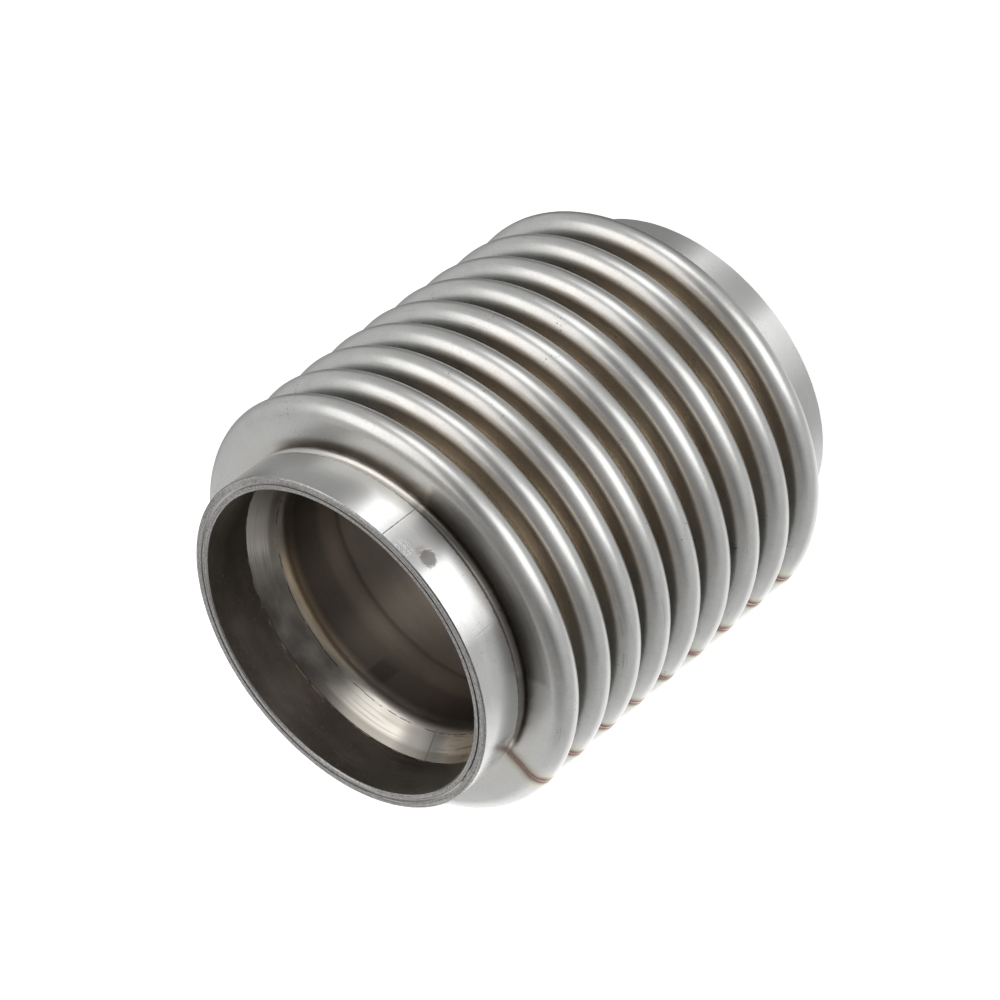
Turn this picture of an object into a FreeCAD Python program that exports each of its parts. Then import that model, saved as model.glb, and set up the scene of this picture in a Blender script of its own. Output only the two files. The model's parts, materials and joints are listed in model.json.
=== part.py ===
import FreeCAD, Part
import math
import os

# Exhaust flex pipe for a 2.5 inch pipe, all sizes in millimetres.
# It stands on its lower rim. The axis is +Z and the origin is the centre of that rim.

# Overall
overall_length = 100.0
pipe_bore_radius = 32.2

# Ends, from the bore outwards: sleeve, bellows cuff, collar
sleeve_wall = 1.05
sleeve_length = 10.7
bellows_wall = 0.35
cuff_recess = 0.4
collar_wall = 1.4
collar_length = 9.2
edge_break = 0.25

# Convolutions
convolution_count = 9
convolution_height = 10.15
crest_bend_radius = 3.0
end_bend_radius = 2.2

# Liner
liner_inset = 3.9
liner_wall = 0.5
liner_seat_width = 0.2
liner_seat_clearance = 0.25
liner_flare_angle = 37.0
liner_bend_radius = 5.0
liner_end_clearance = 3.3

# Radii that follow from the bore and the walls
cuff_inner_radius = pipe_bore_radius + sleeve_wall
cuff_outer_radius = cuff_inner_radius + bellows_wall
collar_outer_radius = cuff_outer_radius + collar_wall
crest_outer_radius = cuff_outer_radius + convolution_height
liner_bore_radius = pipe_bore_radius - liner_inset

# Heights that follow from the lengths
first_crest_height = collar_length + end_bend_radius + crest_bend_radius
last_crest_height = overall_length - first_crest_height
convolution_pitch = (last_crest_height - first_crest_height) / (convolution_count - 1)
root_bend_radius = convolution_pitch / 2 - crest_bend_radius


def point(radius, height):
    """A point of a section, in the half plane that is turned about the axis."""
    return FreeCAD.Vector(radius, 0, height)


def line(start, end):
    return Part.makeLine(point(*start), point(*end))


def arc(centre, radius, start_angle, end_angle):
    """An arc of a section; an angle of 0 points away from the axis and 90 points up."""
    through = []
    for angle in (start_angle, (start_angle + end_angle) / 2, end_angle):
        turn = math.radians(angle)
        through.append(point(centre[0] + radius * math.cos(turn), centre[1] + radius * math.sin(turn)))
    return Part.Arc(*through).toShape()


def turned(edges):
    """The solid that a closed section makes when it is turned once round the axis."""
    section = Part.Face(Part.Wire(Part.__sortEdges__(edges)))
    return section.revolve(FreeCAD.Vector(0, 0, 0), FreeCAD.Vector(0, 0, 1), 360)


def turned_outline(corners):
    """The turned solid of an outline that has straight sides only."""
    following = corners[1:] + corners[:1]
    return turned([line(start, end) for start, end in zip(corners, following)])


def from_the_top(shape):
    """A piece of the lower end, turned over to be the same piece of the upper end."""
    other_end = shape.copy()
    other_end.rotate(FreeCAD.Vector(0, 0, overall_length / 2), FreeCAD.Vector(1, 0, 0), 180)
    return other_end


def bellows_surface(depth):
    """One side of the bellows sheet, from the lower cuff to the upper, this deep under its outside."""
    cuff_radius = cuff_outer_radius - depth
    crest_radius = crest_bend_radius - depth
    root_radius = root_bend_radius + depth
    end_radius = end_bend_radius + depth
    crest_centre_radius = crest_outer_radius - crest_bend_radius
    root_centre_radius = cuff_outer_radius + root_bend_radius
    end_centre_radius = cuff_outer_radius + end_bend_radius
    upper_collar_edge = overall_length - collar_length

    edges = [line((cuff_radius, cuff_recess), (cuff_radius, collar_length))]
    edges.append(arc((end_centre_radius, collar_length), end_radius, 180, 90))
    first_flank = first_crest_height - crest_radius
    edges.append(line((end_centre_radius, first_flank), (crest_centre_radius, first_flank)))

    for index in range(convolution_count):
        crest_height = first_crest_height + index * convolution_pitch
        edges.append(arc((crest_centre_radius, crest_height), crest_radius, -90, 90))
        if index < convolution_count - 1:
            lower_flank = crest_height + crest_radius
            upper_flank = crest_height + convolution_pitch - crest_radius
            root_height = crest_height + convolution_pitch / 2
            edges.append(line((crest_centre_radius, lower_flank), (root_centre_radius, lower_flank)))
            edges.append(arc((root_centre_radius, root_height), root_radius, 270, 90))
            edges.append(line((root_centre_radius, upper_flank), (crest_centre_radius, upper_flank)))

    last_flank = last_crest_height + crest_radius
    edges.append(line((crest_centre_radius, last_flank), (end_centre_radius, last_flank)))
    edges.append(arc((end_centre_radius, upper_collar_edge), end_radius, 270, 180))
    edges.append(line((cuff_radius, upper_collar_edge), (cuff_radius, overall_length - cuff_recess)))
    return edges


def bellows():
    """One thin sheet: a cuff at each end and round-crested convolutions between them."""
    edges = bellows_surface(0) + bellows_surface(bellows_wall)
    for height in (cuff_recess, overall_length - cuff_recess):
        edges.append(line((cuff_inner_radius, height), (cuff_outer_radius, height)))
    return turned(edges)


def lower_collar():
    """A plain ring over the cuff, its outer edges broken."""
    return turned_outline([
        (cuff_outer_radius, 0),
        (collar_outer_radius - edge_break, 0),
        (collar_outer_radius, edge_break),
        (collar_outer_radius, collar_length - edge_break),
        (collar_outer_radius - edge_break, collar_length),
        (cuff_outer_radius, collar_length),
    ])


def lower_sleeve():
    """A plain ring inside the cuff, its bore broken at the mouth."""
    return turned_outline([
        (cuff_inner_radius, 0),
        (cuff_inner_radius, sleeve_length),
        (pipe_bore_radius, sleeve_length),
        (pipe_bore_radius, edge_break),
        (pipe_bore_radius + edge_break, 0),
    ])


def flow_liner():
    """A thin tube that guides the gas past the convolutions.

    It is flared at the mouth, where a narrow flat on its end seats on the inner end of the upper
    sleeve. The other end is free, so that the bellows can flex.
    """
    angle = math.radians(liner_flare_angle)
    seat_height = overall_length - sleeve_length
    seat_radius = cuff_inner_radius - liner_seat_clearance
    lip_radius = seat_radius - liner_seat_width
    free_end = sleeve_length + liner_end_clearance
    outer_radius = liner_bore_radius + liner_wall

    # The inside runs down the flare from the lip and bends into the tube.
    # The bend is convex towards the axis, so its centre lies outside the wall.
    bend_centre_radius = liner_bore_radius + liner_bend_radius
    bend_rise = liner_bend_radius * math.sin(angle)
    inner_bend_radius = bend_centre_radius - liner_bend_radius * math.cos(angle)
    flare_drop = (lip_radius - inner_bend_radius) / math.tan(angle)
    bend_centre_height = seat_height - flare_drop - bend_rise

    # The outside of the wall runs beside it, one wall further out, and is trimmed at the seat.
    wall_bend_radius = liner_bend_radius - liner_wall
    outer_bend_radius = bend_centre_radius - wall_bend_radius * math.cos(angle)
    outer_bend_height = bend_centre_height + wall_bend_radius * math.sin(angle)
    trimmed_height = outer_bend_height + (seat_radius - outer_bend_radius) / math.tan(angle)

    centre = (bend_centre_radius, bend_centre_height)
    bend_end = 180 - liner_flare_angle
    return turned([
        line((lip_radius, seat_height), (seat_radius, seat_height)),
        line((seat_radius, seat_height), (seat_radius, trimmed_height)),
        line((seat_radius, trimmed_height), (outer_bend_radius, outer_bend_height)),
        arc(centre, wall_bend_radius, bend_end, 180),
        line((outer_radius, bend_centre_height), (outer_radius, free_end)),
        line((outer_radius, free_end), (liner_bore_radius, free_end)),
        line((liner_bore_radius, free_end), (liner_bore_radius, bend_centre_height)),
        arc(centre, liner_bend_radius, 180, bend_end),
        line((inner_bend_radius, bend_centre_height + bend_rise), (lip_radius, seat_height)),
    ])


pieces = {
    "bellows": bellows(),
    "lower_collar": lower_collar(),
    "upper_collar": from_the_top(lower_collar()),
    "lower_sleeve": lower_sleeve(),
    "upper_sleeve": from_the_top(lower_sleeve()),
    "flow_liner": flow_liner(),
}

os.makedirs("parts", exist_ok=True)
for name, shape in pieces.items():
    shape.exportStep("parts/" + name + ".step")
    print(name, "valid", shape.isValid(), "volume", round(shape.Volume, 1), "box", shape.BoundBox)
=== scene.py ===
"""Exhaust flex pipe: its six turned pieces of steel, their finishes and a small studio.

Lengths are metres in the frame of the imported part: the pipe stands on its lower rim at the origin,
and its axis is +Z. Azimuths are degrees round that axis, with 0 on the side that faces the camera.
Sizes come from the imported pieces, or stand as named fields of their class.
"""

import json
import logging
import math
from dataclasses import dataclass
from enum import Enum

import bpy
from mathutils import Matrix, Quaternion, Vector


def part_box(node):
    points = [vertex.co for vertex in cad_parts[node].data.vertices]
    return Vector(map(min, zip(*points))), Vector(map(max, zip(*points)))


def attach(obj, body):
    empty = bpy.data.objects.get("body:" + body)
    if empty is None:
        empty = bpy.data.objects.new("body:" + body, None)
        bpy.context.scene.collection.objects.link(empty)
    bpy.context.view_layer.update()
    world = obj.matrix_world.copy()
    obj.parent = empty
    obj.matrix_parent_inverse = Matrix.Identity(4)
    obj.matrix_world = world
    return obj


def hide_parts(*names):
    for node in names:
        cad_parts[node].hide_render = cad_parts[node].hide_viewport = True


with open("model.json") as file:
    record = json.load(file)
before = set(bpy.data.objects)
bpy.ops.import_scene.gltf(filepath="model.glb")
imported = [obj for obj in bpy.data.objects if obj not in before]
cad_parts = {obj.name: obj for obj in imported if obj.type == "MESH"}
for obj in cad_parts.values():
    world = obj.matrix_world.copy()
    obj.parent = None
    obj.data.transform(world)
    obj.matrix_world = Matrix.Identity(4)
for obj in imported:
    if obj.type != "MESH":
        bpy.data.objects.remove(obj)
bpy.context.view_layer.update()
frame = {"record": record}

logging.basicConfig(level=logging.INFO, format="%(name)s: %(message)s")
log = logging.getLogger("flex_pipe")

Object = bpy.types.Object
Tree = bpy.types.NodeTree
Socket = bpy.types.NodeSocket

MM = 0.001
HUNDREDTH_MM = 5  # digits of a length in metres
SAME_PLACE = 0.001 * MM
QUARTER_TURN, HALF_TURN = 90, 180
SHARP_DEGREES = 32
PIPE_MIDDLE = 50  # millimetres, as are all sizes in the finishes
FAR = 1000


class End(Enum):
    """The two ends of the pipe."""

    LOWER = "lower"
    UPPER = "upper"


def rounded(length: float) -> float:
    """A length to a hundredth of a millimetre."""
    return round(length, HUNDREDTH_MM)


def outer_radius(node: str) -> float:
    """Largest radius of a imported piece."""
    low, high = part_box(node)
    return rounded((high.x - low.x) / 2)


@dataclass(frozen=True)
class PipeSizes:
    """The sizes that several pieces share."""

    length: float
    bore_radius: float
    sleeve_radius: float
    sleeve_length: float
    collar_radius: float
    collar_length: float
    crest_radius: float
    cuff_recess: float
    bellows_wall: float = 0.35 * MM
    edge_break: float = 0.25 * MM

    @classmethod
    def from_frame(cls) -> "PipeSizes":
        """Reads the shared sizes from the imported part.

        Returns:
            The sizes in metres.
        """
        mounts = {mount["name"]: mount for mount in frame["record"]["mounts"]}
        return cls(
            length=rounded(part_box("upper_collar")[1].z),
            bore_radius=mounts["upper_bore"]["dims"]["r_mm"] * MM,
            sleeve_radius=outer_radius("upper_sleeve"),
            sleeve_length=rounded(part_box("lower_sleeve")[1].z),
            collar_radius=outer_radius("upper_collar"),
            collar_length=rounded(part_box("lower_collar")[1].z),
            crest_radius=outer_radius("bellows"),
            cuff_recess=rounded(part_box("bellows")[0].z),
        )

    @property
    def cuff_radius(self) -> float:
        """Outer radius of the bellows' cuffs, which lie on the sleeves."""
        return self.sleeve_radius + self.bellows_wall

    def height(self, end: End, depth: float) -> float:
        """Height of a place that lies this deep in from the rim of an end."""
        return depth if end is End.LOWER else self.length - depth


def around(azimuth: float) -> Vector:
    """Direction out from the axis at an azimuth."""
    turn = math.radians(azimuth)
    return Vector((-math.sin(turn), -math.cos(turn), 0))


# Modelling

def take(piece: Object) -> None:
    """Makes a piece the only one that is selected, and the active one.

    Args:
        piece: The piece.
    """
    bpy.ops.object.select_all(action="DESELECT")
    piece.select_set(True)
    bpy.context.view_layer.objects.active = piece


def smooth(piece: Object) -> None:
    """Shades a piece smooth, apart from its sharp edges."""
    take(piece)
    bpy.ops.object.shade_smooth_by_angle(angle=math.radians(SHARP_DEGREES))


def apply_modifier(piece: Object, kind: str, **settings: object) -> None:
    """Adds a modifier to a piece and applies it at once.

    Args:
        piece: The piece.
        kind: Blender's name of the modifier.
        settings: Values of the modifier.
    """
    modifier = piece.modifiers.new(kind.lower(), kind)
    for name, value in settings.items():
        setattr(modifier, name, value)
    take(piece)
    bpy.ops.object.modifier_apply(modifier=modifier.name)


class Section:
    """The cut line of a turned piece, drawn with one vertex in the XZ plane and then turned."""

    def __init__(self, name: str, radius: float, height: float) -> None:
        """Puts the pen down.

        Args:
            name: Name of the finished piece.
            radius: Distance of the first point from the axis.
            height: Height of the first point.
        """
        bpy.ops.object.select_all(action="DESELECT")
        bpy.ops.mesh.primitive_plane_add(size=MM)
        self.piece = bpy.context.object
        self.piece.name = name
        self.piece.data.name = name
        bpy.ops.object.mode_set(mode="EDIT")
        bpy.ops.mesh.select_all(action="SELECT")
        bpy.ops.mesh.merge(type="CENTER")
        bpy.ops.transform.translate(value=(radius, 0, height))
        self.radius, self.height = radius, height

    def run_to(self, radius: float, height: float, steps: int = 1) -> None:
        """Draws a straight stretch.

        Args:
            radius: Distance of its end from the axis.
            height: Height of its end.
            steps: Number of equal edges.
        """
        stride = ((radius - self.radius) / steps, 0, (height - self.height) / steps)
        for _ in range(steps):
            bpy.ops.mesh.extrude_region_move(TRANSFORM_OT_translate={"value": stride})
        self.radius, self.height = radius, height

    def bend(self, radius: float, height: float, degrees: float, steps: int) -> None:
        """Draws an arc about a centre.

        Args:
            radius: Distance of the arc's centre from the axis.
            height: Height of the arc's centre.
            degrees: Angle of the arc, positive from outwards to upwards.
            steps: Number of edges.
        """
        turn = math.radians(degrees)
        axis = (0, 1, 0) if turn > 0 else (0, -1, 0)
        bpy.ops.mesh.spin(steps=steps, angle=abs(turn), center=(radius, 0, height), axis=axis)
        out, up = self.radius - radius, self.height - height
        self.radius = radius + out * math.cos(turn) - up * math.sin(turn)
        self.height = height + out * math.sin(turn) + up * math.cos(turn)

    def turn(self, steps: int) -> Object:
        """Turns the line once round the axis, closes the surface and presses it.

        Args:
            steps: Number of sides of the turned piece.

        Returns:
            The piece, with its faces outwards.
        """
        bpy.ops.mesh.select_all(action="SELECT")
        bpy.ops.mesh.spin(steps=steps, angle=math.tau, center=(0, 0, 0), axis=(0, 0, 1))
        bpy.ops.mesh.select_all(action="SELECT")
        bpy.ops.mesh.remove_doubles(threshold=SAME_PLACE)
        bpy.ops.mesh.normals_make_consistent(inside=False)
        bpy.ops.object.mode_set(mode="OBJECT")
        Forming().press(self.piece)
        return self.piece


@dataclass(frozen=True)
class Forming:
    """The unevenness that pressing leaves in all pieces alike, so that they still fit."""

    wave_x: float = 46 * MM
    wave_y: float = 52.9 * MM
    reach: float = 0.9 * MM

    def press(self, piece: Object) -> None:
        """Pushes a piece out of round by up to about a quarter of the reach.

        Args:
            piece: The piece.
        """
        for direction, wave in (("X", self.wave_x), ("Y", self.wave_y)):
            swell = bpy.data.textures.new(f"forming_{direction}", type="CLOUDS")
            swell.noise_scale = wave
            swell.noise_depth = 0
            apply_modifier(
                piece, "DISPLACE", texture=swell, texture_coords="LOCAL", direction=direction,
                mid_level=0.5, strength=self.reach,
            )


# Finishes

def linear(code: str) -> tuple[float, float, float, float]:
    """Turns an sRGB hex colour into the linear colour that shaders take.

    Args:
        code: Colour such as "#C9C7C3".

    Returns:
        Linear red, green, blue and an alpha of 1.
    """
    channels = [int(code[place:place + 2], 16) / 255 for place in (1, 3, 5)]
    return (*(c / 12.92 if c <= 0.04045 else ((c + 0.055) / 1.055) ** 2.4 for c in channels), 1.0)


@dataclass(frozen=True)
class Step:
    """A soft step of a share, while a pattern goes from one value to another."""

    pattern: Socket
    start: float
    stop: float
    before: float = 0.0
    after: float = 1.0


@dataclass(frozen=True)
class Coat:
    """A colour that is laid over others, where it lies, and how strong it is there."""

    colour: str | Socket
    where: Socket | Step
    strength: float = 1.0


class Drawing:
    """A node tree that patterns are drawn in."""

    def __init__(self, tree: Tree) -> None:
        """Takes up the tree."""
        self.tree = tree

    def feed(self, node: bpy.types.Node, inputs: dict) -> None:
        """Sets or links inputs of a node.

        Args:
            node: The node.
            inputs: Values, hex colours or sockets, by name or number of the input.
        """
        for name, value in inputs.items():
            if isinstance(value, Socket):
                self.tree.links.new(value, node.inputs[name])
            else:
                node.inputs[name].default_value = linear(value) if isinstance(value, str) else value

    def add(self, kind: str, inputs: dict | None = None, stops: tuple = (),
            **settings: object) -> bpy.types.NodeOutputs:
        """Adds one node with its settings and links.

        Args:
            kind: Blender's name of the node, without ShaderNode.
            inputs: Values, hex colours or sockets, by name or number of the input.
            stops: Places and hex colours of a colour ramp.
            settings: Values of the node itself.

        Returns:
            The node's outputs.
        """
        node = self.tree.nodes.new("ShaderNode" + kind)
        for name, value in settings.items():
            setattr(node, name, value)
        self.feed(node, inputs or {})
        for index, (place, code) in enumerate(stops):
            ramp = node.color_ramp.elements
            stop = ramp[index] if index < len(ramp) else ramp.new(place)
            stop.position, stop.color = place, linear(code)
        return node.outputs

    def total(self, start: float | Socket, *terms: tuple[Socket, float | Socket]) -> Socket:
        """Adds patterns to a start.

        Args:
            start: What they are added to.
            terms: Each a pattern and how much of it is added.

        Returns:
            The sum.
        """
        for pattern, share in terms:
            inputs = {0: pattern, 1: share, 2: start}
            start = self.add("Math", inputs, operation="MULTIPLY_ADD")[0]
        return start

    def mark(self, *shares: Socket | Step | float) -> Socket:
        """Says where something is drawn.

        Args:
            shares: What has to hold there, each from 0, not at all, to 1.

        Returns:
            The product of the shares.
        """
        product = None
        for share in shares:
            if isinstance(share, Step):
                share = self.add(
                    "MapRange",
                    {"Value": share.pattern, "From Min": share.start, "From Max": share.stop,
                     "To Min": share.before, "To Max": share.after},
                    interpolation_type="SMOOTHSTEP",
                )[0]
            product = share if product is None else self.total(0.0, (product, share))
        return product

    def off(self, place: float, pattern: Socket) -> Socket:
        """How far a pattern is from a value, either way."""
        return self.add("Math", {0: self.total(-place, (pattern, 1.0))}, operation="ABSOLUTE")[0]

    def along(self, direction: Vector, place: Socket) -> Socket:
        """How far a place lies out in a direction."""
        inputs = {0: place, 1: tuple(direction)}
        return self.add("VectorMath", inputs, operation="DOT_PRODUCT")["Value"]


class Metal(Drawing):
    """The metal that a finish is drawn on, measured in millimetres."""

    def __init__(self, tree: Tree) -> None:
        """Reads where the shaded point lies on its piece.

        Args:
            tree: The node tree of the material.
        """
        super().__init__(tree)
        metres = self.add("TexCoord")["Object"]
        self.place = self.add("VectorMath", {0: metres, 1: [1 / MM] * 3}, operation="MULTIPLY")[0]
        self.height = self.add("SeparateXYZ", {0: self.place})["Z"]
        flat = self.add("VectorMath", {0: self.place, 1: (1, 1, 0)}, operation="MULTIPLY")[0]
        self.radius = self.add("VectorMath", {0: flat}, operation="LENGTH")["Value"]

    def clouds(self, grain: float, detail: float = 2.0, stretch: float = 1.0,
               rough: float = 0.5) -> Socket:
        """Draws clouds of a real size.

        Args:
            grain: Size of a cloud along the pipe.
            detail: Finer layers on top.
            stretch: How many times longer a cloud is across the pipe than along it.
            rough: Strength of the finer layers.

        Returns:
            Clouds from 0 to 1.
        """
        across = 1 / (grain * stretch)
        size = (across, across, 1 / grain)
        scaled = self.add("VectorMath", {0: self.place, 1: size}, operation="MULTIPLY")[0]
        inputs = {"Vector": scaled, "Scale": 1.0, "Detail": detail, "Roughness": rough}
        return self.add("TexNoise", inputs)["Fac"]

    def across(self, azimuth: float) -> Socket:
        """Measures from the lengthwise line at an azimuth.

        Args:
            azimuth: Where the line lies.

        Returns:
            Distance from the line, and a metre more on the other side of the pipe.
        """
        sideways = self.off(0.0, self.along(around(azimuth + QUARTER_TURN), self.place))
        behind = self.mark(Step(self.along(around(azimuth), self.place), -1, 0, FAR, 0))
        return self.total(behind, (sideways, 1.0))

    def sector(self, azimuth: float, half: float, fade: float) -> Socket:
        """Marks one side of the pipe.

        Args:
            azimuth: Middle of that side.
            half: Half of its width, in degrees.
            fade: Width of its soft edge, in degrees.

        Returns:
            1 on that side and 0 elsewhere.
        """
        facing = self.along(around(azimuth), self.place)
        cosine = self.add("Math", {0: facing, 1: self.radius}, operation="DIVIDE")[0]
        outer, inner = (math.cos(math.radians(degrees)) for degrees in (half + fade, half))
        return self.mark(Step(cosine, outer, inner))

    def from_end(self) -> Socket:
        """Distance from the nearer end, along the pipe."""
        return self.total(PIPE_MIDDLE, (self.off(PIPE_MIDDLE, self.height), -1.0))

    def paint(self, colour: str | Socket, *coats: Coat) -> Socket:
        """Lays coats of colour over each other.

        Args:
            colour: The colour below.
            coats: The coats, from the lowest to the uppermost.

        Returns:
            The colour that shows.
        """
        for coat in coats:
            where = self.mark(coat.where, coat.strength)
            inputs = {"Factor": where, 6: colour, 7: coat.colour}
            colour = self.add("Mix", inputs, data_type="RGBA")[2]
        return colour

    def relief(self, *layers: tuple[Socket, float]) -> Socket:
        """Stacks height maps into one shading normal.

        Args:
            layers: Each a height from 0 to 1 and its depth.

        Returns:
            The normal.
        """
        inputs = {"Strength": 1.0}
        for height, depth in layers:
            inputs |= {"Height": height, "Distance": depth * MM}
            inputs["Normal"] = self.add("Bump", inputs)["Normal"]
        return inputs["Normal"]


class Finish(Metal):
    """A metal finish: what all of them share. Sizes are millimetres, as on a workshop drawing."""

    name: str
    steel: str
    roughness: float

    @classmethod
    def material(cls) -> bpy.types.Material:
        """Makes the material, unless it is there already.

        Returns:
            The material, ready for a piece.
        """
        if cls.name in bpy.data.materials:
            return bpy.data.materials[cls.name]
        material = bpy.data.materials.new(cls.name)
        material.use_nodes = True
        finish = cls(material.node_tree)
        shader = material.node_tree.nodes["Principled BSDF"]
        plain = {"Metallic": 1.0, "Roughness": cls.roughness, "Base Color": cls.steel}
        finish.feed(shader, plain)
        finish.feed(shader, finish.draw())
        return material

    def draw(self) -> dict[str, object]:
        """Patterns of the finish, by the name of the shader's input."""
        raise NotImplementedError


class PressedSheet(Finish):
    """Cold-rolled stainless sheet, seam-welded into a tube, pressed into convolutions and annealed.

    It gives the eye a satin grey with soft highlights, brown grooves where oil and heat have
    stained it, a few pits from the press and the coloured line of the lengthwise weld. Its grain is
    really some 0.05 mm, too fine to show, so it is drawn as fine and satin, 0.22 and 0.4 mm.
    """

    name: str = "pressed_stainless_sheet"
    steel: str = "#CCCCCA"
    roughness: float = 0.31
    fine: float = 0.22
    satin: float = 0.4
    stain: str = "#CEC7BC"
    # Painted sheen: the stain's lighter, golden colour, laid only on the side towards the camera.
    stain_with_gold_sheen: str = "#DAD3C9"
    # Painted warm sheen on the crests' flanks, on the side towards the camera.
    tint: str = "#D2C9BD"
    stained_below: float = 34.6
    clean_above: float = 39.5
    end_clean: float = 11.2
    end_fade: float = 3
    first_flank: float = 11.6
    collar_seam_azimuth: float = -17.3
    weld_azimuth: float = 80.5
    weld_reach: float = 3.4
    weld_wobble: float = 0.9
    weld_colours: tuple = (
        (0.0, "#C4ACA0"), (0.05, "#8C5A4C"), (0.12, "#6F4B45"), (0.22, "#7B6E6B"),
        (0.36, "#ABA69C"), (0.55, "#CBC5AE"), (1.0, "#C8C7C4"),
    )
    pit_size: float = 0.7

    def draw(self) -> dict[str, object]:
        """Draws the stain with its painted sheen, the painted shade and reflection behind the
        collars, the weld's heat colours, the pits and the satin grain.

        Returns:
            Patterns by the name of the shader's input.
        """
        colour = self.stained()
        colour = self.behind_collar(colour)
        colour = self.welded(colour)
        lines = self.clouds(0.3, stretch=60)
        scratches = self.mark(Step(lines, 0.62, 0.7), Step(self.clouds(6), 0.45, 0.6))
        mottled = self.mark(
            Step(self.clouds(1.6, 5, stretch=2, rough=0.7), 0.38, 0.66, 0, 0.16),
            Step(self.radius, 39, 41.5, 0.3, 1),
        )
        grain = Step(self.clouds(self.fine, stretch=2), 0.42, 0.68, 0, 0.14)
        pits = self.pits()
        colour = self.paint(
            colour,
            Coat("#8D8A85", scratches, 0.35),
            Coat("#A7A5A1", mottled),
            Coat("#94928E", grain),
            Coat("#3B3731", pits),
        )

        in_pipe = Step(self.from_end(), self.end_clean, self.end_clean + self.end_fade)
        unworn_groove = self.mark(Step(self.radius, 37.5, 40, 1, 0), in_pipe)
        dull_flank = self.mark(
            Step(self.radius, 41.8, 42.9, 1, 0),
            Step(self.radius, 38, 40),
            in_pipe,
        )
        worn = self.clouds(2, 4, stretch=3, rough=0.6)
        return {
            "Base Color": colour,
            "Roughness": self.total(
                self.roughness - 0.06, (worn, 0.12), (unworn_groove, -0.12), (dull_flank, 0.08)
            ),
            "Normal": self.relief(
                (self.clouds(7, 1), 0.03), (lines, 0.003),
                (self.clouds(self.satin, 3), 0.005), (pits, -0.02),
            ),
        }

    def stained(self) -> Socket:
        """Stains the grooves with oil and heat, and paints a golden sheen over the stain and a warm
        sheen on the crests, both on the side towards the camera.

        Returns:
            The colour.
        """
        cleaner_ends = Step(self.from_end(), self.end_clean, self.end_clean + self.end_fade, 0.35)
        grooves = self.mark(
            Step(self.radius, self.stained_below, self.clean_above, 1, 0),
            Step(self.clouds(14), 0.1, 0.6, 0.6),
            cleaner_ends,
        )
        # Painted warm sheen: the crests' outer flanks, only on the side towards the camera.
        tinted = self.mark(
            self.sector(-4, half=14, fade=44),
            Step(self.radius, 41.2, 43.75, 1, 0),
            cleaner_ends,
        )
        # Painted golden sheen over the real stain, on the side towards the camera only.
        golden = self.sector(-8, half=14, fade=34)
        stain = self.paint(self.stain, Coat(self.stain_with_gold_sheen, golden))
        return self.paint(self.steel, Coat(self.tint, tinted), Coat(stain, grooves))

    def behind_collar(self, colour: Socket) -> Socket:
        """Draws painted shade in the corner behind each collar and on its low flank, a painted dark
        reflection of the collar in the first flank, and the streak where its seam ends.

        Args:
            colour: The colour so far.

        Returns:
            The colour.
        """
        radius = self.radius
        flank = self.mark(Step(self.from_end(), self.first_flank, self.first_flank + 0.4, 1, 0))
        # Painted shade: the corner behind the collar is painted dark brown, most on the side towards
        # the camera.
        corner = self.mark(flank, Step(radius, 34.9, 35.9, 1, 0), self.sector(28, half=44, fade=6))
        # Painted reflection: a dark brown crescent where the first flank mirrors the collar's dark
        # back edge.
        crescent = self.mark(
            flank, Step(radius, 34.7, 35.1), Step(radius, 35.9, 37.6, 1, 0),
            self.sector(-46, half=24, fade=12),
        )
        low_flank = self.mark(flank, Step(radius, 39.4, 41, 1, 0))
        # Painted shade: the low flank behind the collar is painted darker on the side towards the
        # camera.
        shaded_low_flank = self.mark(low_flank, self.sector(14, half=30, fade=2))
        streak = self.mark(low_flank, Step(self.across(self.collar_seam_azimuth), 0.2, 0.9, 1, 0))
        return self.paint(
            colour,
            Coat("#4B433B", corner, 0.85),
            Coat("#7B6C5C", crescent, 0.7),
            Coat("#8B8681", shaded_low_flank, 0.5),
            Coat("#EEE6DA", streak, 0.3),
        )

    def welded(self, colour: Socket) -> Socket:
        """Draws the heat colours on both sides of the lengthwise weld, greyer on the flanks.

        Args:
            colour: The colour so far.

        Returns:
            The colour.
        """
        wobble = self.weld_wobble / self.weld_reach
        from_weld = self.total(
            -wobble / 2, (self.clouds(3), wobble),
            (self.across(self.weld_azimuth), 1 / self.weld_reach),
        )
        heat = self.add("ValToRGB", {"Fac": from_weld}, stops=self.weld_colours)["Color"]
        flanks = Step(self.radius, 39, 42, 0.25, 0)
        heat = self.paint(heat, Coat("#8A857E", flanks))
        return self.paint(colour, Coat(heat, Step(from_weld, 0.4, 1.0, 1, 0)))

    def pits(self) -> Socket:
        """Marks small pits, in clusters.

        Returns:
            Where the pits are.
        """
        inputs = {"Vector": self.place, "Scale": 1 / self.pit_size}
        cells = self.add("TexVoronoi", inputs)["Distance"]
        return self.mark(Step(cells, 0.1, 0.3, 0.8, 0), Step(self.clouds(6, 3), 0.62, 0.7))


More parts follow.
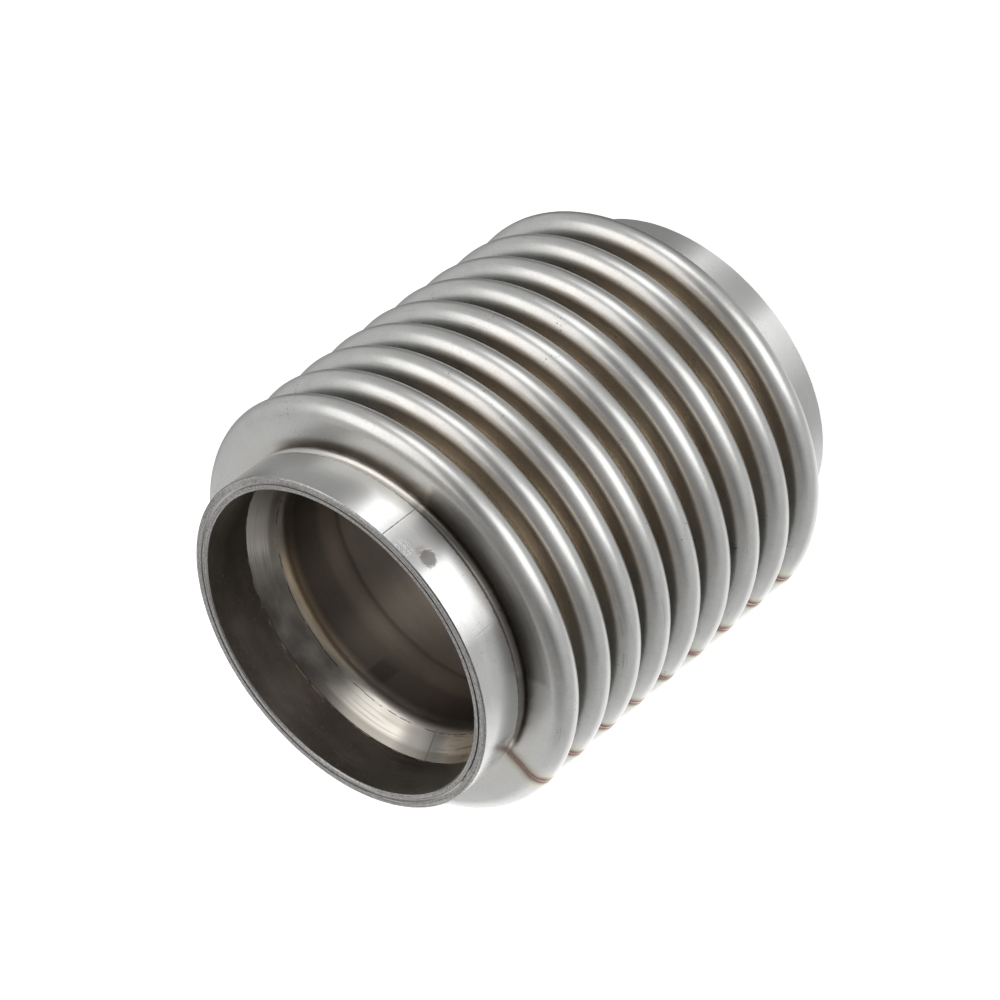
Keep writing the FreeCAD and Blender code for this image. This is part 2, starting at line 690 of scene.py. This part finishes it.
class BrushedTube(Finish):
    """Stainless tube, cut into rings and linished round its outside.

    It gives the eye a brighter, sharper reflection than the bellows, drawn out across the fine
    lines that run round the ring, with a butt seam, a spot of heat and a few scuffs. The lines are
    really some 0.1 mm apart, too fine to show, so they are drawn 0.35 mm apart.
    """

    name: str = "linished_stainless_tube"
    steel: str = "#DADAD9"
    roughness: float = 0.21
    line_gap: float = 0.35
    ring_radius: float = 35
    seam_azimuth: float = -17.5
    second_seam_azimuth: float = 22.5
    spot_azimuth: float = -4.0
    spot_radius: float = 1.5
    spot_height: float = 96.3
    scuff_azimuth: float = -10.5
    scuff_height: float = 98.7
    smudge_azimuth: float = 71
    # Middle of the side that is painted darker, as shade.
    shaded_side_azimuth: float = -52
    inner_edge: float = 91

    def draw(self) -> dict[str, object]:
        """Draws the linishing lines, the butt seam, the heat spot and the scuffs.

        Returns:
            Patterns and values by the name of the shader's input.
        """
        lines = self.clouds(self.line_gap, 3, stretch=90)
        smears = self.clouds(3, 4, stretch=4, rough=0.6)
        seams = self.seams()
        spot = self.spot()
        scorched = Step(
            self.from_place(self.spot_azimuth - 2.6, self.spot_height + 0.2),
            0.7, 1.5, 0.35, 0,
        )
        scuffed = self.mark(
            Step(self.from_place(self.scuff_azimuth, self.scuff_height), 0.7, 2.0, 1, 0),
            Step(self.clouds(0.35), 0.5, 0.58),
        )
        smudges = self.mark(
            self.sector(self.smudge_azimuth, half=4, fade=6),
            Step(self.clouds(1.6, 3), 0.4, 0.75),
            Step(self.height, 95.5, 97.5, 1, 0),
        )
        nicks = self.mark(Step(self.clouds(0.7, 1), 0.72, 0.75), Step(self.clouds(7, 1), 0.45, 0.6))
        # Darker in patches along the collar's back edge, where it meets the bellows.
        patchy_dark_back_edge = self.mark(
            Step(self.height, self.inner_edge, self.inner_edge + 0.25, 1, 0),
            Step(self.height, self.inner_edge - 1, self.inner_edge - 0.5),
            Step(self.clouds(0.8, 3), 0.44, 0.56),
        )
        colour = self.paint(
            self.steel,
            Coat("#B9B8B6", Step(smears, 0.3, 0.75, 0, 0.35)),
            # Painted shade: one side of the collar is painted darker.
            Coat("#A6A6A5", self.sector(self.shaded_side_azimuth, half=18, fade=12), 0.6),
            Coat("#4E4A47", seams, 0.85),
            Coat("#A98F7D", scorched),
            Coat("#5A5652", patchy_dark_back_edge, 0.8),
            Coat("#8B8883", spot),
            Coat("#77707A", smudges, 0.7),
            Coat("#8F8C89", nicks, 0.5),
        )
        round_it = self.add("Tangent", direction_type="RADIAL", axis="Z")
        return {
            "Base Color": colour,
            "Anisotropic": 0.8,
            "Anisotropic Rotation": 0.25,
            "Tangent": round_it["Tangent"],
            "Roughness": self.total(
                self.roughness - 0.07, (smears, 0.14), (spot, 0.2), (scuffed, 0.3)
            ),
            "Normal": self.relief(
                (self.clouds(9, 1), 0.03), (lines, 0.003), (seams, -0.02),
                (scuffed, 0.03), (spot, -0.03),
            ),
        }

    def seams(self) -> Socket:
        """Marks the ragged butt seam across the ring, and a short fine one.

        Returns:
            Where the seams are.
        """
        from_seam = self.total(0.0, (self.across(self.seam_azimuth), 1.0), (self.clouds(0.9), 0.16))
        long_seam = self.mark(Step(from_seam, 0.1, 0.24, 1, 0))
        short_seam = self.mark(
            Step(self.across(self.second_seam_azimuth), 0.03, 0.12, 0.4, 0),
            Step(self.height, 92, 94),
            Step(self.height, 96, 97.5, 1, 0),
        )
        return self.add("Math", {0: long_seam, 1: short_seam}, operation="MAXIMUM")[0]

    def spot(self) -> Socket:
        """Marks the spot of heat, with its frayed edge.

        Returns:
            Where the spot is.
        """
        frayed = self.total(
            0.0, (self.from_place(self.spot_azimuth, self.spot_height), 1.0),
            (self.clouds(0.8, 3), 1.3),
        )
        return self.mark(Step(frayed, self.spot_radius + 0.4, self.spot_radius + 1.1, 0.85, 0))

    def from_place(self, azimuth: float, height: float) -> Socket:
        """Measures from a place on the ring's outside.

        Args:
            azimuth: Azimuth of the place.
            height: Height of the place.

        Returns:
            Distance from the place.
        """
        centre = around(azimuth) * self.ring_radius
        inputs = {0: self.place, 1: (*centre.xy, height)}
        return self.add("VectorMath", inputs, operation="DISTANCE")["Value"]


class HiddenTube(BrushedTube):
    """The tube of the lower collar, duller, with its marks on the side that the camera misses."""

    name: str = "linished_stainless_tube_lower"
    steel: str = "#C6C6C5"
    roughness: float = 0.28
    seam_azimuth: float = 165
    second_seam_azimuth: float = 195
    spot_azimuth: float = 170
    smudge_azimuth: float = 250


class SawnEdge(Finish):
    """The cut end of a tube, sawn and barely deburred.

    It gives the eye a dull grey, torn across its width, with rings that wander round it.
    """

    name: str = "sawn_stainless_edge"
    steel: str = "#B9B8B6"
    roughness: float = 0.4
    tear_size: float = 0.45
    ring_gap: float = 0.16
    wander: float = 0.07  # drift of the rings per millimetre round the rim

    def draw(self) -> dict[str, object]:
        """Draws the torn grain.

        Returns:
            Patterns by the name of the shader's input.
        """
        tear = self.clouds(self.tear_size, 3)
        out = self.add("CombineXYZ", {"X": self.total(0.0, (self.radius, 1 / self.ring_gap))})[0]
        inputs = {0: self.place, 1: (self.wander, self.wander, 0), 2: out}
        wandering = self.add("VectorMath", inputs, operation="MULTIPLY_ADD")[0]
        rings = self.add("TexNoise", {"Vector": wandering, "Scale": 1.0, "Detail": 2.0})["Fac"]
        shade = self.total(0.0, (tear, 0.4), (rings, 0.6))
        return {
            "Base Color": self.paint(self.steel, Coat("#7C7A77", Step(shade, 0.38, 0.62))),
            "Normal": self.relief((tear, 0.016), (rings, 0.014)),
        }


class MillBore(Finish):
    """The bore of a welded tube as the mill left it.

    It gives the eye a dull brown-grey scale with specks, rub marks and a paler inner edge, partly
    worn and partly a painted highlight.
    """

    name: str = "mill_scale_bore"
    steel: str = "#B2ADA7"
    roughness: float = 0.36
    pale_edge_depth: float = 10.4

    def draw(self) -> dict[str, object]:
        """Draws the scale, its specks, the rub marks and the pale inner edge, partly worn and partly
        a painted highlight.

        Returns:
            Patterns by the name of the shader's input.
        """
        patches = self.clouds(5, 4, stretch=2.5)
        specks = Step(self.clouds(0.45), 0.64, 0.7)
        rubs = self.mark(
            Step(self.clouds(0.5, stretch=30), 0.6, 0.68),
            Step(self.clouds(8), 0.5, 0.6),
        )
        # Partly wear, partly painted highlight: the bore's inner end is painted pale gold.
        edge = self.mark(
            Step(self.from_end(), self.pale_edge_depth, self.pale_edge_depth + 0.15),
            Step(self.clouds(2.5, 3), 0.45, 0.6),
        )
        colour = self.paint(
            self.steel,
            Coat("#928C86", Step(patches, 0.3, 0.7)),
            Coat("#D0CBC4", specks, 0.7),
            Coat("#CFC8BE", rubs, 0.4),
            Coat("#E8D6B9", edge),
        )
        return {
            "Base Color": colour,
            "Normal": self.relief((self.clouds(1.2, 3), 0.02), (edge, 0.04)),
        }


class SpunLiner(Finish):
    """Thin stainless sheet, rolled to a tube and flared on a mandrel.

    It gives the eye a bright cream flare with grain round it and painted light and shade in patches,
    a thin torn line where the mandrel stopped, a golden bend with a painted highlight, and a
    smooth, darker brown-grey tube beyond with a painted ring and band of reflection. The streaks of
    the mandrel are really some 0.1 mm apart, too fine to show, so they are drawn 0.3 mm apart.
    """

    name: str = "flared_stainless_liner"
    steel: str = "#C8C3BA"
    roughness: float = 0.31
    tube: str = "#A7A099"
    gold: str = "#F2E2C9"
    # Heat colour and painted shade of one side of the flare.
    blued_and_shaded: str = "#5E5955"
    streak_gap: float = 0.3
    wander: float = 0.5
    line_height: float = 84.4
    bend_end: float = 81.6
    seam_azimuth: float = 161.0
    flare_seam_azimuth: float = 124.0
    foot_of_flare: float = 85.4
    lip_of_flare: float = 87.2
    # Heights of the painted dark ring and light band of reflection on the tube.
    ring_height: float = 69.3
    band_height: float = 72.5

    def draw(self) -> dict[str, object]:
        """Draws the flare with its painted light and shade, the torn line, the bend with its painted
        highlight, the darker tube with its painted reflections and the grain round them.

        Returns:
            Patterns by the name of the shader's input.
        """
        near = self.total(-self.wander / 2, (self.clouds(5, 3), self.wander), (self.height, 1.0))
        streaks = self.clouds(self.streak_gap, 3, stretch=60)
        bend_top = self.bend_end + 1.3
        bend = Step(near, self.bend_end - 1.6, bend_top)
        shaded = self.mark(self.sector(184, half=16, fade=14), Step(near, bend_top, bend_top + 0.9))
        # The bend: golden colour with a painted highlight, pale gold on the far side and greyer
        # round the rest, with painted shade just above it.
        golden = self.paint("#E6E2DB", Coat(self.gold, self.sector(212, half=22, fade=30)))
        golden = self.paint(
            "#C4BFB7",
            Coat(golden, self.sector(180, half=36, fade=16)),
            Coat("#8C857B", shaded, 0.65),
        )
        on_flare = self.mark(Step(near, self.line_height - 0.9, self.line_height + 0.5))
        line = self.mark(
            Step(self.off(self.line_height, near), 0.03, 0.14, 1, 0),
            Step(self.clouds(2.2, 3), 0.42, 0.56, 0.1, 0.75),
        )
        crack = self.mark(Step(self.across(self.flare_seam_azimuth), 0.08, 0.3, 0.45, 0), on_flare)
        colour = self.paint(
            self.inner_tube_with_reflections(near),
            Coat(golden, bend),
            Coat(self.flare(streaks), on_flare),
            Coat("#2B2622", line),
            Coat("#4A4641", crack),
        )
        return {
            "Base Color": colour,
            "Normal": self.relief(
                (self.clouds(8, 1), 0.05), (streaks, 0.006),
                (self.clouds(0.8, 3), 0.01),
            ),
        }

    def flare(self, streaks: Socket) -> Socket:
        """Draws the flare: cream steel, turned blue by heat and painted darker as shade on one side,
        with painted light and shade in patches round it, streaks and a few scores.

        Args:
            streaks: Fine streaks round the flare.

        Returns:
            The colour.
        """
        mottled = Step(self.clouds(5, 3, stretch=2), 0.3, 0.65, 0.55, 1)
        foot = Step(self.height, self.foot_of_flare, self.foot_of_flare + 0.8, 1, 0)
        lip = Step(self.height, self.lip_of_flare, self.lip_of_flare + 0.7)
        scores = Step(self.clouds(0.35, stretch=18), 0.56, 0.64)
        return self.paint(
            self.steel,
            # Partly heat colour, partly painted shade: the dark blue-grey side of the flare.
            Coat(self.blued_and_shaded, self.mark(self.sector(193, half=12, fade=24), mottled)),
            Coat("#77746F", Step(streaks, 0.5, 0.7, 0, 0.5)),
            # Painted light and shade in patches round the flare: beige at 100 degrees, darker at
            # 128, 250, 240, 138 and 134.
            Coat("#CDBFAA", self.sector(100, half=10, fade=10), 0.8),
            Coat("#7F7D79", self.sector(128, half=4, fade=9), 0.9),
            Coat("#8F8D8A", self.sector(250, half=12, fade=12), 0.6),
            Coat("#5F4E3C", self.mark(self.sector(240, half=12, fade=10), foot), 0.6),
            Coat("#6F6A62", self.mark(self.sector(138, half=28, fade=14), lip), 0.62),
            Coat("#7D766C", self.mark(self.sector(134, half=10, fade=8), foot), 0.35),
            Coat("#6B5F52", self.mark(self.sector(112, half=10, fade=5), scores), 0.5),
        )

    def inner_tube_with_reflections(self, near: Socket) -> Socket:
        """Draws the tube beyond the flare, a darker brown-grey, with a painted dark ring and light
        band of reflection, and the seam.

        Args:
            near: The point's height, which wanders a little.

        Returns:
            The colour.
        """
        height = self.height
        seam = self.mark(
            Step(self.across(self.seam_azimuth), 1.6, 2.4, 0.45, 0),
            Step(height, 75, 77),
        )
        off_ring = self.off(self.ring_height, near)
        off_band = self.off(self.band_height, height)
        return self.paint(
            self.tube,
            Coat("#918C87", Step(height, 66, 80)),
            # Painted reflections: a dark ring and a light band round the tube.
            Coat("#5B544D", Step(off_ring, 0.1, 0.9, 0.5, 0)),
            Coat("#C9BFB2", Step(off_band, 0.6, 2.6, 0.5, 0)),
            Coat("#4A443E", seam),
            Coat("#918B85", Step(self.clouds(4, 3, stretch=4), 0.35, 0.7, 0, 0.4)),
        )


def put_in_place(piece: Object, node: str, slot: str, *finishes: type[Finish]) -> None:
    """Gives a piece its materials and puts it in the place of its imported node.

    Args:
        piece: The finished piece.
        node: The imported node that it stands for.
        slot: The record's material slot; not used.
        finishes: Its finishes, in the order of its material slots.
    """
    for finish in finishes:
        piece.data.materials.append(finish.material())
    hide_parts(node)
    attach(piece, "root")


# Pieces

@dataclass(frozen=True)
class Bellows:
    """The thin pressed sheet: a cuff at each end and nine round convolutions."""

    sizes: PipeSizes
    settled_mm: tuple[float, ...] = (0.0, 0.3, 0.5, 0.4, 0.4, 0.25, -0.05, -0.1, 0.1)
    crest_bend: float = 3.0 * MM
    end_bend: float = 1.3 * MM
    end_run: float = 0.9 * MM
    sides: int = 200
    cuff_steps: int = 3
    end_steps: int = 7
    flank_steps: int = 2
    crest_steps: int = 14
    root_steps: int = 8

    def build(self) -> Object:
        """Draws the outside of the sheet from cuff to cuff, turns it and gives it its wall.

        Returns:
            The bellows.
        """
        sizes = self.sizes
        cuff = sizes.cuff_radius
        crest = sizes.crest_radius - self.crest_bend
        end_centre = cuff + self.end_bend
        cuff_end = sizes.collar_length + self.end_run
        first = cuff_end + self.end_bend + self.crest_bend
        pitch = (sizes.length - 2 * first) / (len(self.settled_mm) - 1)

        pen = Section("bellows_sheet", cuff, sizes.cuff_recess)
        pen.run_to(cuff, cuff_end, self.cuff_steps)
        pen.bend(end_centre, cuff_end, -QUARTER_TURN, self.end_steps)
        heights = [first + index * pitch + off * MM for index, off in enumerate(self.settled_mm)]
        for height, following in zip(heights, heights[1:] + [None]):
            pen.run_to(crest, height - self.crest_bend, self.flank_steps)
            pen.bend(crest, height, HALF_TURN, self.crest_steps)
            if following:
                root = cuff + (following - height) / 2 - self.crest_bend
                pen.run_to(root, height + self.crest_bend, self.flank_steps)
                pen.bend(root, (height + following) / 2, -HALF_TURN, self.root_steps)
        upper_edge = sizes.length - cuff_end
        pen.run_to(end_centre, upper_edge - self.end_bend, self.flank_steps)
        pen.bend(end_centre, upper_edge, -QUARTER_TURN, self.end_steps)
        pen.run_to(cuff, sizes.length - sizes.cuff_recess, self.cuff_steps)
        sheet = pen.turn(self.sides)
        apply_modifier(
            sheet, "SOLIDIFY", thickness=sizes.bellows_wall, offset=-1, use_even_offset=True
        )
        smooth(sheet)
        return sheet

    def dress(self, sheet: Object) -> None:
        """Dresses the bellows."""
        put_in_place(sheet, "bellows", "bellows_steel", PressedSheet)


@dataclass(frozen=True)
class Ring:
    """A plain ring at one end: its sawn rim gets burrs and a finish of its own."""

    sizes: PipeSizes
    end: End
    kind: str
    burr_seeds: tuple[int, int]
    sides: int = 256
    edge: float = 0.5 * MM
    burr: float = 0.015 * MM
    burr_reach: float = 0.3 * MM
    rim_reach: float = 0.2 * MM
    rim_slope: float = 0.5

    @property
    def node(self) -> str:
        """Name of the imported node."""
        return f"{self.end.value}_{self.kind}"

    def corners(self) -> list[tuple[float, float]]:
        """Radius and depth of the ring's corners, each stretch a side of its section."""
        raise NotImplementedError

    def build(self) -> Object:
        """Draws the section, turns it, and finishes its rim.

        Returns:
            The ring, with its rim's faces in the second material slot.
        """
        corners = [(radius, self.sizes.height(self.end, depth)) for radius, depth in self.corners()]
        pen = Section(f"{self.node}_ring", *corners[0])
        for radius, height in [*corners[1:], corners[0]]:
            run = math.hypot(radius - pen.radius, height - pen.height)
            pen.run_to(radius, height, max(1, round(run / self.edge)))
        ring = pen.turn(self.sides)
        rim = self.sizes.height(self.end, 0)
        self.roughen(ring, rim)
        for face in ring.data.polygons:
            on_rim = abs(face.center.z - rim) < self.rim_reach
            if on_rim and abs(face.normal.z) > self.rim_slope:
                face.material_index = 1
        smooth(ring)
        return ring

    def roughen(self, ring: Object, rim: float) -> None:
        """Gives the cut rim the small burrs of a saw.

        Args:
            ring: The ring.
            rim: Height of its rim.
        """
        mesh = ring.data
        for items in (mesh.vertices, mesh.edges, mesh.polygons):
            items.foreach_set("select", [False] * len(items))
        for vertex in mesh.vertices:
            vertex.select = abs(vertex.co.z - rim) < self.burr_reach
        lower_seed, upper_seed = self.burr_seeds
        take(ring)
        bpy.ops.object.mode_set(mode="EDIT")
        bpy.ops.transform.vertex_random(
            offset=self.burr, uniform=1, normal=0, wait_for_input=False,
            seed=upper_seed if self.end is End.UPPER else lower_seed,
        )
        bpy.ops.object.mode_set(mode="OBJECT")


@dataclass(frozen=True)
class Collar(Ring):
    """The outer ring, over the cuff."""

    kind: str = "collar"
    burr_seeds: tuple[int, int] = (4, 3)

    def corners(self) -> list[tuple[float, float]]:
        """Lays out the collar's section, with its outer edges broken.

        Returns:
            Radius and depth of each corner.
        """
        sizes = self.sizes
        inner, outer = sizes.cuff_radius, sizes.collar_radius
        return [
            (inner, 0), (outer - sizes.edge_break, 0), (outer, sizes.edge_break),
            (outer, sizes.collar_length - sizes.edge_break),
            (outer - sizes.edge_break, sizes.collar_length), (inner, sizes.collar_length),
        ]

    def dress(self, ring: Object) -> None:
        """Dresses the collar."""
        outside = BrushedTube if self.end is End.UPPER else HiddenTube
        put_in_place(ring, self.node, "collar_steel", outside, SawnEdge)


@dataclass(frozen=True)
class Sleeve(Ring):
    """The inner ring, whose bore takes the pipe."""

    kind: str = "sleeve"
    burr_seeds: tuple[int, int] = (6, 5)

    def corners(self) -> list[tuple[float, float]]:
        """Lays out the sleeve's section, with its bore broken at the mouth.

        Returns:
            Radius and depth of each corner.
        """
        sizes = self.sizes
        return [
            (sizes.sleeve_radius, 0), (sizes.sleeve_radius, sizes.sleeve_length),
            (sizes.bore_radius, sizes.sleeve_length), (sizes.bore_radius, sizes.edge_break),
            (sizes.bore_radius + sizes.edge_break, 0),
        ]

    def dress(self, ring: Object) -> None:
        """Dresses the sleeve."""
        put_in_place(ring, self.node, "sleeve_steel", MillBore, SawnEdge)


@dataclass(frozen=True)
class FlowLiner:
    """The thin inner tube: a flare that seats on the upper sleeve, and a long free tube."""

    sizes: PipeSizes
    wall: float = 0.5 * MM
    inset: float = 3.9 * MM
    seat_width: float = 0.2 * MM
    flare_degrees: float = 37.0
    bend: float = 5.0 * MM
    sides: int = 256
    tube_steps: int = 24
    bend_steps: int = 12
    flare_steps: int = 8

    def build(self) -> Object:
        """Draws the sheet's section, inside and outside, and turns it.

        Returns:
            The liner.
        """
        low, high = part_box("flow_liner")
        bore = self.sizes.bore_radius - self.inset
        seat = outer_radius("flow_liner")
        slope = math.radians(self.flare_degrees)
        centre = bore + self.bend
        inner_end = centre - self.bend * math.cos(slope)
        bend_rise = self.bend * math.sin(slope)
        centre_height = high.z - (seat - self.seat_width - inner_end) / math.tan(slope) - bend_rise
        outer_bend = self.bend - self.wall
        outer_end = centre - outer_bend * math.cos(slope)
        outer_height = centre_height + outer_bend * math.sin(slope)
        trimmed = outer_height + (seat - outer_end) / math.tan(slope)

        pen = Section("flow_liner_sheet", bore, low.z)
        pen.run_to(bore, centre_height, self.tube_steps)
        pen.bend(centre, centre_height, -self.flare_degrees, self.bend_steps)
        pen.run_to(seat - self.seat_width, high.z, self.flare_steps)
        pen.run_to(seat, high.z)
        pen.run_to(seat, trimmed)
        pen.run_to(outer_end, outer_height, self.flare_steps)
        pen.bend(centre, centre_height, self.flare_degrees, self.bend_steps)
        pen.run_to(bore + self.wall, low.z, self.tube_steps)
        pen.run_to(bore, low.z)
        sheet = pen.turn(self.sides)
        smooth(sheet)
        return sheet

    def dress(self, sheet: Object) -> None:
        """Dresses the liner."""
        put_in_place(sheet, "flow_liner", "liner_steel", SpunLiner)


# Studio

def blank(name: str) -> tuple[bpy.types.Material, Drawing]:
    """Makes a material with nothing in it yet.

    Args:
        name: Its name.

    Returns:
        The material and its empty tree.
    """
    material = bpy.data.materials.new(name)
    material.use_nodes = True
    material.node_tree.nodes.clear()
    return material, Drawing(material.node_tree)


@dataclass(frozen=True)
class Camera:
    """The photograph's view of the pipe, worked out from its rims and crests."""

    location: tuple[float, ...] = (0.00266, -0.64490, 0.50728)
    target: tuple[float, ...] = (0.00266, 0.0, 0.05174)
    roll: float = -128.02
    lens_mm: float = 151.6
    sensor_mm: float = 36.0
    nearest: float = 0.01

    def turn(self) -> Quaternion:
        """Works out how the camera is turned, from its line of sight and its roll.

        Returns:
            The turn.
        """
        sight = Vector(self.target) - Vector(self.location)
        level = sight.to_track_quat("-Z", "Y")
        return level @ Quaternion((0, 0, 1), math.radians(self.roll))

    def build(self) -> None:
        """Makes the camera."""
        bpy.ops.object.camera_add(location=self.location)
        camera = bpy.context.object
        camera.name = "camera"
        camera.rotation_mode = "QUATERNION"
        camera.rotation_quaternion = self.turn()
        camera.data.lens = self.lens_mm
        camera.data.sensor_width = self.sensor_mm
        camera.data.clip_start = self.nearest
        bpy.context.scene.camera = camera

    def direction(self, azimuth: float, elevation: float) -> Vector:
        """Direction in the frame, from angles as the photographer sees them.

        Args:
            azimuth: Degrees to the right, with 0 towards the camera.
            elevation: Degrees upwards in the picture.

        Returns:
            A unit vector.
        """
        side, rise = math.radians(azimuth), math.radians(elevation)
        across = Vector((math.sin(side), 0, math.cos(side))) * math.cos(rise)
        return self.turn() @ (across + Vector((0, math.sin(rise), 0)))


@dataclass(frozen=True)
class Softbox:
    """A lit panel with soft edges, placed round the pipe as the photographer sees it.

    Its angles and its width and height are degrees, as seen from the pipe.
    """

    name: str
    azimuth: float
    elevation: float
    width: float
    height: float
    radiance: float
    edge: float = 0.1
    distance: float = 1.4

    def build(self, camera: Camera) -> None:
        """Makes the panel, facing the pipe, upright in the picture.

        Args:
            camera: The camera that the angles are told from.
        """
        out = camera.direction(self.azimuth, self.elevation)
        side = camera.direction(0, QUARTER_TURN).cross(out).normalized()
        bpy.ops.object.select_all(action="DESELECT")
        bpy.ops.mesh.primitive_plane_add(size=2)
        panel = bpy.context.object
        panel.name = self.name
        panel.location = Vector(camera.target) + out * self.distance
        panel.rotation_mode = "QUATERNION"
        axes = Matrix((side, out.cross(side), out)).transposed()
        panel.rotation_quaternion = axes.to_quaternion()
        half_width, half_height = (
            self.distance * math.tan(math.radians(size / 2)) for size in (self.width, self.height)
        )
        panel.scale = (half_width, half_height, 1)
        panel.data.materials.append(self.cloth())
        panel.visible_camera = False
        panel.visible_shadow = False

    def cloth(self) -> bpy.types.Material:
        """Makes the diffusing cloth, an even glow that fades towards its edges.

        Returns:
            The material.
        """
        material, cloth = blank(f"{self.name}_cloth")
        sides = cloth.add("SeparateXYZ", {0: cloth.add("TexCoord")["Object"]})
        hems = [Step(cloth.off(0.0, sides[axis]), 1 - self.edge, 1.0, 1, 0) for axis in "XY"]
        light = cloth.add("Emission", {"Strength": cloth.mark(*hems, self.radiance)})[0]
        both = cloth.add("AddShader", {0: light, 1: cloth.add("BsdfTransparent")[0]})[0]
        cloth.add("OutputMaterial", {"Surface": both})
        return material


@dataclass(frozen=True)
class Glow:
    """A broad soft patch of the room's light, brighter or darker than the rest."""

    azimuth: float
    elevation: float
    reach: float
    amount: float


@dataclass(frozen=True)
class Studio:
    """Floor, room and softboxes."""

    room: float = 0.85
    darkest: float = 0.13
    glows: tuple[Glow, ...] = (
        Glow(-166, -37, 42, 0.95),
        Glow(180, -6, 24, 0.8),
        Glow(150, -14, 40, 0.75),
        Glow(-4, 16, 30, -0.6),
        Glow(-26, -42, 60, -0.48),
        Glow(176, 36, 30, -0.55),
        Glow(-155, 14, 30, -0.3),
        Glow(-140, 74, 30, -0.2),
        Glow(142, 52, 30, -0.3),
        Glow(38, -46, 30, -0.3),
        Glow(-40, 5, 26, -0.45),
    )
    softboxes: tuple[Softbox, ...] = (
        Softbox("softbox_right", 52, 15, 44, 45, 1.4, edge=0.05),
        Softbox("softbox_left", -53, 20, 57, 52, 1.2),
        Softbox("softbox_top", 13, 68.5, 30, 34, 1.45, edge=0.07),
    )
    floor_size: float = 6.0
    floor_drop: float = 0.08 * MM
    floor_glow: float = 0.78
    floor_colour: str = "#EDEDED"

    def build(self, camera: Camera) -> None:
        """Builds the room round the camera.

        Args:
            camera: The camera that the lights are placed from.
        """
        self.build_floor()
        self.build_world(camera)
        for softbox in self.softboxes:
            softbox.build(camera)
        bpy.context.scene.view_settings.view_transform = "Standard"

    def build_floor(self) -> None:
        """Makes the floor of matt white board, even and without a shine.

        The metal sees the softboxes as if the floor weren't in their way.
        """
        bpy.ops.object.select_all(action="DESELECT")
        bpy.ops.mesh.primitive_plane_add(size=self.floor_size, location=(0, 0, -self.floor_drop))
        floor = bpy.context.object
        floor.name = "floor"
        material, board = blank("white_floor")
        seen = board.add("LightPath")["Is Camera Ray"]
        glow = board.add("Emission", {"Strength": board.mark(seen, self.floor_glow)})[0]
        white = board.add("BsdfDiffuse", {"Color": self.floor_colour})[0]
        both = board.add("AddShader", {0: white, 1: glow})[0]
        board.add("OutputMaterial", {"Surface": both})
        floor.data.materials.append(material)
        floor.visible_glossy = False
        floor.visible_shadow = False

    def build_world(self, camera: Camera) -> None:
        """Makes the room's light, with its glows, and plain white for what the camera sees.

        Args:
            camera: The camera that the glows are placed from.
        """
        world = bpy.data.worlds.new("room")
        bpy.context.scene.world = world
        world.use_nodes = True
        world.node_tree.nodes.clear()
        air = Drawing(world.node_tree)
        way = air.add("TexCoord")["Generated"]
        level = self.room
        for glow in self.glows:
            near = air.along(camera.direction(glow.azimuth, glow.elevation), way)
            edge = math.cos(math.radians(glow.reach))
            level = air.total(level, (air.mark(Step(near, edge, 1.0, 0.0, glow.amount)), 1.0))
        level = air.add("Math", {0: level, 1: self.darkest}, operation="MAXIMUM")[0]
        room = air.add("Background", {"Strength": level})[0]
        white = air.add("Background", {"Strength": 1.0})[0]
        seen = air.add("LightPath")["Is Camera Ray"]
        either = air.add("MixShader", {0: seen, 1: room, 2: white})[0]
        air.add("OutputWorld", {"Surface": either})


def main() -> None:
    """Builds, dresses and reports the pieces in order, and sets up the studio."""
    sizes = PipeSizes.from_frame()
    rings = [ring(sizes, end) for end in End for ring in (Collar, Sleeve)]
    for part in (Bellows(sizes), *rings, FlowLiner(sizes)):
        piece = part.build()
        part.dress(piece)
        log.info("%s: %d faces", piece.name, len(piece.data.polygons))
    camera = Camera()
    camera.build()
    Studio().build(camera)


if __name__ == "__main__":
    main()
